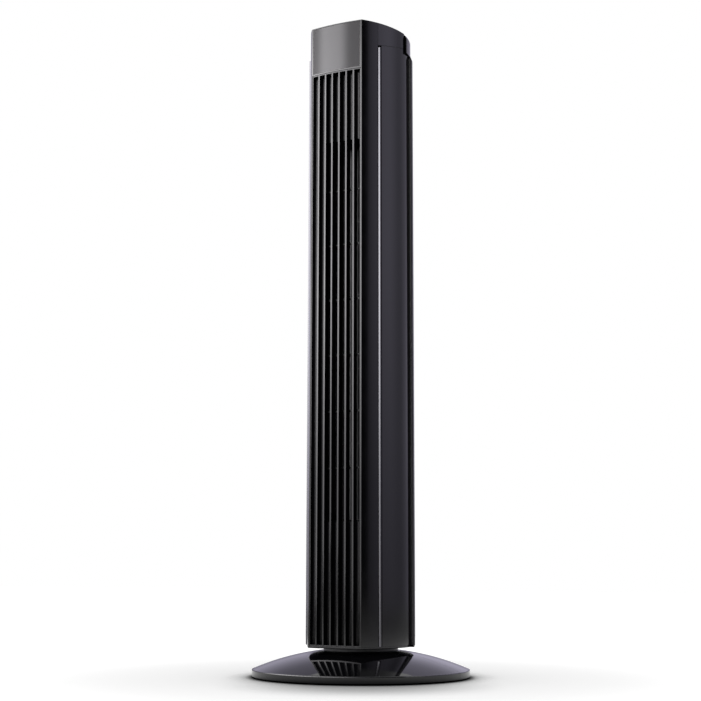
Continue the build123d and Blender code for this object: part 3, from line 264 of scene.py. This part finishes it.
def make_materials():
    """One material for each slot of the record."""
    return {
        "gloss_black": moulded_black(
            "gloss_black", (0.0024, 0.0024, 0.0030), (0.0036, 0.0035, 0.0044), (0.04, 0.07), 0.4 * MM
        ),
        "satin_black": moulded_black(
            "satin_black", (0.0010, 0.0010, 0.0013), (0.0016, 0.0015, 0.0021), (0.11, 0.15), 0.7 * MM
        ),
        "matte_black": matte_black(),
        "satin_grey": satin_grey(),
        "bright_trim": metal("bright_trim", (0.075, 0.075, 0.080), (0.100, 0.100, 0.106), (0.18, 0.24)),
        "button_black": plastic("button_black", (0.02, 0.02, 0.022), (0.03, 0.03, 0.032), (0.2, 0.28)),
        "rubber_black": plastic("rubber_black", (0.014, 0.014, 0.014), (0.024, 0.024, 0.024), (0.6, 0.8)),
        "impeller_black": plastic("impeller_black", (0.010, 0.010, 0.011), (0.02, 0.02, 0.021), (0.35, 0.5)),
        "white_nylon": plastic("white_nylon", (0.72, 0.71, 0.66), (0.80, 0.79, 0.75), (0.4, 0.5)),
        "zinc_steel": metal("zinc_steel", (0.50, 0.50, 0.52), (0.62, 0.62, 0.63), (0.28, 0.42)),
        "lamination_steel": metal(
            "lamination_steel", (0.16, 0.16, 0.17), (0.24, 0.24, 0.25), (0.4, 0.6), 300.0, SHEET_STACK
        ),
        "copper_winding": metal("copper_winding", (0.45, 0.20, 0.09), (0.62, 0.32, 0.15), (0.3, 0.45), 500.0),
        "bronze_bush": metal("bronze_bush", (0.42, 0.29, 0.16), (0.55, 0.40, 0.24), (0.4, 0.5)),
        "board_green": plastic("board_green", (0.02, 0.11, 0.05), (0.03, 0.15, 0.08), (0.3, 0.4)),
        "lens_clear": plastic("lens_clear", (0.6, 0.6, 0.58), (0.72, 0.72, 0.7), (0.15, 0.2)),
        "motor_can": metal("motor_can", (0.42, 0.42, 0.43), (0.52, 0.52, 0.53), (0.3, 0.4)),
    }


def dress_nodes(materials):
    """Give every CAD node the material of its slot in the record."""
    for part in frame["record"]["subparts"]:
        node = frame["nodes"][part["node"]]
        node.data.materials.clear()
        node.data.materials.append(materials[part["material_slot"]])


# ---------------------------------------------------------------- studio
# Lengths are in metres from the swing axis. A level of 1 is white. Each pair is a start and
# an end: of the stretch over which a level changes, or of the level itself over that stretch.
FLOOR_SIZE = 14.0
PALE_STRETCH = (0.40, 1.3)
PALE_COLOUR = (0.93, 0.12)  # the lit floor, near the fan and far from it
FILL_STRETCH = (0.25, 1.1)
FILL_LEVEL = (0.18, 1.0)  # white added where the floor is seen
GLOSS_STRETCH = (0.5, 1.2)
GLOSS_SHARE = (1.0, 0.15)  # of that white, in gloss
CONTACT_REACH = 0.13
CONTACT_DEPTH = 4.0
FRONT_SHADE_DISTANCE = 0.14  # in front of the axis, towards the camera's place
FRONT_SHADE_STRETCH = (0.05, 0.20)
FRONT_SHADE_LEVEL = (0.46, 1.0)


def emission(tree, colour, strength):
    """Light of one colour whose strength another node gives."""
    node = tree.nodes.new("ShaderNodeEmission")
    node.inputs["Color"].default_value = (*colour, 1)
    tree.links.new(strength, node.inputs["Strength"])
    return node.outputs[0]


def both_shaders(tree, first, second):
    node = tree.nodes.new("ShaderNodeAddShader")
    tree.links.new(first, node.inputs[0])
    tree.links.new(second, node.inputs[1])
    return node.outputs[0]


def distance_from(tree, position, point):
    node = tree.nodes.new("ShaderNodeVectorMath")
    node.operation = "DISTANCE"
    node.inputs[1].default_value = point
    tree.links.new(position, node.inputs[0])
    return node.outputs["Value"]


def floor_shade(tree, level, position):
    """Contact shade round the base, deepest in front of it."""
    contact = tree.nodes.new("ShaderNodeAmbientOcclusion")
    contact.samples = 12
    contact.inputs["Distance"].default_value = CONTACT_REACH
    shade = level.combine("POWER", contact.outputs["AO"], CONTACT_DEPTH)
    middle = (
        FRONT_SHADE_DISTANCE * math.sin(CAMERA_ANGLE),
        -FRONT_SHADE_DISTANCE * math.cos(CAMERA_ANGLE),
        0.0,
    )
    from_front = distance_from(tree, position, middle)
    return level.times(shade, level.step(from_front, *FRONT_SHADE_STRETCH, *FRONT_SHADE_LEVEL))


def make_floor():
    """White floor round the fan, darker far away, and white wherever it is seen unshaded."""
    bpy.ops.mesh.primitive_plane_add(size=FLOOR_SIZE)
    floor = bpy.context.object
    floor.name = "studio_floor"
    material = bpy.data.materials.new("studio_floor")
    material.use_nodes = True
    tree = material.node_tree
    level = Levels(tree)
    shader = tree.nodes["Principled BSDF"]
    shader.inputs["Roughness"].default_value = 0.9
    shader.inputs["Specular IOR Level"].default_value = 0.0
    position = tree.nodes.new("ShaderNodeNewGeometry").outputs["Position"]
    away = distance_from(tree, position, (0.0, 0.0, 0.0))
    shade = floor_shade(tree, level, position)
    pale = level.step(away, *PALE_STRETCH, *PALE_COLOUR)
    tree.links.new(level.times(pale, shade), shader.inputs["Base Color"])
    # camera and glass see the white fill in full, and gloss sees it near the fan
    path = tree.nodes.new("ShaderNodeLightPath")
    fill = level.times(level.step(away, *FILL_STRETCH, *FILL_LEVEL), shade)
    in_gloss = level.times(path.outputs["Is Glossy Ray"], level.step(away, *GLOSS_STRETCH, *GLOSS_SHARE))
    seen = level.combine("MAXIMUM", path.outputs["Is Camera Ray"], path.outputs["Is Transmission Ray"])
    seen = level.combine("MAXIMUM", seen, in_gloss)
    glow = emission(tree, (1, 1, 1), level.times(seen, fill))
    total = both_shaders(tree, shader.outputs[0], glow)
    tree.links.new(total, tree.nodes["Material Output"].inputs["Surface"])
    floor.data.materials.append(material)


SKY_STRETCH = (-0.1, 0.7)  # from just under the horizon to high up
SKY_LEVEL = (0.75, 1.1)


def make_world():
    """White wherever it is seen; as a light, a soft even studio."""
    world = bpy.data.worlds.new("studio")
    bpy.context.scene.world = world
    world.use_nodes = True
    tree = world.node_tree
    tree.nodes.clear()
    level = Levels(tree)
    output = tree.nodes.new("ShaderNodeOutputWorld")
    path = tree.nodes.new("ShaderNodeLightPath")
    white = tree.nodes.new("ShaderNodeBackground")
    white.inputs["Color"].default_value = (1, 1, 1, 1)
    studio = tree.nodes.new("ShaderNodeBackground")
    place = tree.nodes.new("ShaderNodeTexCoord")
    split = tree.nodes.new("ShaderNodeSeparateXYZ")
    tree.links.new(place.outputs["Generated"], split.inputs[0])
    tree.links.new(level.step(split.outputs["Z"], *SKY_STRETCH, *SKY_LEVEL), studio.inputs["Strength"])
    seen = level.combine("MAXIMUM", path.outputs["Is Camera Ray"], path.outputs["Is Glossy Ray"])
    seen = level.combine("MAXIMUM", seen, path.outputs["Is Transmission Ray"])
    mix = tree.nodes.new("ShaderNodeMixShader")
    tree.links.new(seen, mix.inputs[0])
    tree.links.new(studio.outputs[0], mix.inputs[1])
    tree.links.new(white.outputs[0], mix.inputs[2])
    tree.links.new(mix.outputs[0], output.inputs["Surface"])


# The tent's azimuths are in degrees from straight ahead of the fan, towards +X. A window is
# the stretch in which it sets in and the one in which it ends.
TENT_RADIUS = 3.2
TENT_HEIGHT = 3.2
TENT_BOTTOM = -0.2
WALL_TINT = (0.97, 0.925, 1.15)
WALL_STRETCH = (-0.1, 1.5)
WALL_LEVEL = (0.43, 0.97)
DARK_FLAG = ((30.0, 44.0), (80.5, 83.5))
DIM_STRETCH = (76.0, 104.0)  # to the right of the dark flag
DIM_LEVEL = (0.3, 1.0)
REAR_FLAG = ((112.0, 140.0), (156.0, 163.0))
REAR_FLAG_STRETCH = (0.1, 1.3)
REAR_FLAG_SHARE = (0.42, 0.61)
REAR_STRIP = ((156.0, 165.0), (176.0, 190.0))

BAND_COSINE = (0.35, 0.75)  # of the angle from straight behind the fan, as the camera stands
BAND_RISE_STRETCH = (0.15, 0.75)
BAND_RISE_LEVEL = (0.33, 0.64)
BAND_FALL_STRETCH = (0.9, 2.1)
BAND_FALL_LEVEL = (1.0, 0.68)
BAND_PEAK_AZIMUTH = 175.0
BAND_PEAK_COSINE = (0.75, 0.98)
BAND_PEAK_LEVEL = (1.0, 1.3)

BOX_TINT = (1.0, 0.98, 1.0)
BOX_WINDOW = ((-110.0, -54.0), (-8.0, 32.0))
BOX_SIDE_STRETCH = (-45.0, -10.0)
BOX_SIDE_LEVEL = (1.42, 0.88)
BOX_RISE_STRETCH = (0.25, 1.25)
BOX_RISE_LEVEL = (2.0, 7.0)
BOX_TOP_STRETCH = (2.0, 2.32)
BOX_TOP_LEVEL = (1.0, 0.45)
BOX_CORNER_STRETCH = (-12.0, 10.0)  # the box's lower right corner is dimmer
BOX_CORNER_HEIGHT = (0.1, 1.6)
BOX_CORNER_SHARE = (0.78, 0.0)


def wall_level(level, azimuth, height):
    """Walls get lighter with height and are dark to the right of the camera's place."""
    walls = level.step(height, *WALL_STRETCH, *WALL_LEVEL)
    walls = level.less(walls, level.window(azimuth, *DARK_FLAG))
    walls = level.times(walls, level.step(azimuth, *DIM_STRETCH, *DIM_LEVEL))
    rear_flag = level.window(azimuth, *REAR_FLAG)
    rear_depth = level.times(rear_flag, level.step(height, *REAR_FLAG_STRETCH, *REAR_FLAG_SHARE))
    walls = level.less(walls, rear_depth)
    return level.combine("ADD", walls, level.window(azimuth, *REAR_STRIP))


def with_rear_band(level, walls, turn, height):
    """Behind the fan, where its base mirrors it, a light band half way up takes the walls' place."""
    behind = level.combine("COSINE", level.combine("ADD", turn, math.pi - CAMERA_ANGLE))
    behind = level.step(behind, *BAND_COSINE)
    peak = level.combine("COSINE", level.combine("SUBTRACT", turn, math.radians(BAND_PEAK_AZIMUTH)))
    rise = level.step(height, *BAND_RISE_STRETCH, *BAND_RISE_LEVEL)
    band = level.times(rise, level.step(height, *BAND_FALL_STRETCH, *BAND_FALL_LEVEL))
    band = level.times(band, level.step(peak, *BAND_PEAK_COSINE, *BAND_PEAK_LEVEL))
    return level.combine("ADD", level.less(walls, behind), level.times(band, behind))


def soft_box_level(level, azimuth, height):
    """Soft box in front, strongest on its left and half way up."""
    box = level.window(azimuth, *BOX_WINDOW)
    box = level.times(box, level.step(azimuth, *BOX_SIDE_STRETCH, *BOX_SIDE_LEVEL))
    box = level.times(box, level.step(height, *BOX_RISE_STRETCH, *BOX_RISE_LEVEL))
    box = level.times(box, level.step(height, *BOX_TOP_STRETCH, *BOX_TOP_LEVEL))
    corner = level.step(azimuth, *BOX_CORNER_STRETCH)
    corner = level.times(corner, level.step(height, *BOX_CORNER_HEIGHT, *BOX_CORNER_SHARE))
    return level.less(box, corner)


def make_tent():
    """Round studio wall that only gloss sees: dim walls, dark flags and a soft box in front."""
    bpy.ops.mesh.primitive_cylinder_add(
        vertices=96, radius=TENT_RADIUS, depth=TENT_HEIGHT, end_fill_type="NOTHING",
        location=(0, 0, TENT_BOTTOM + TENT_HEIGHT / 2),
    )
    tent = bpy.context.object
    tent.name = "studio_tent"
    tent.visible_camera = False
    tent.visible_diffuse = False
    tent.visible_shadow = False
    material = bpy.data.materials.new("studio_tent")
    material.use_nodes = True
    tree = material.node_tree
    tree.nodes.clear()
    level = Levels(tree)
    output = tree.nodes.new("ShaderNodeOutputMaterial")
    place = tree.nodes.new("ShaderNodeNewGeometry")
    split = tree.nodes.new("ShaderNodeSeparateXYZ")
    tree.links.new(place.outputs["Position"], split.inputs[0])
    ahead = level.times(split.outputs["Y"], -1.0)
    turn = level.combine("ARCTAN2", split.outputs["X"], ahead)
    azimuth = level.times(turn, 180.0 / math.pi)
    height = split.outputs["Z"]
    walls = with_rear_band(level, wall_level(level, azimuth, height), turn, height)
    box = soft_box_level(level, azimuth, height)
    total = both_shaders(tree, emission(tree, WALL_TINT, walls), emission(tree, BOX_TINT, box))
    tree.links.new(total, output.inputs["Surface"])
    tent.data.materials.append(material)


make_camera()
dress_nodes(make_materials())
make_floor()
make_world()
make_tent()

bpy.context.scene.view_settings.view_transform = "Standard"
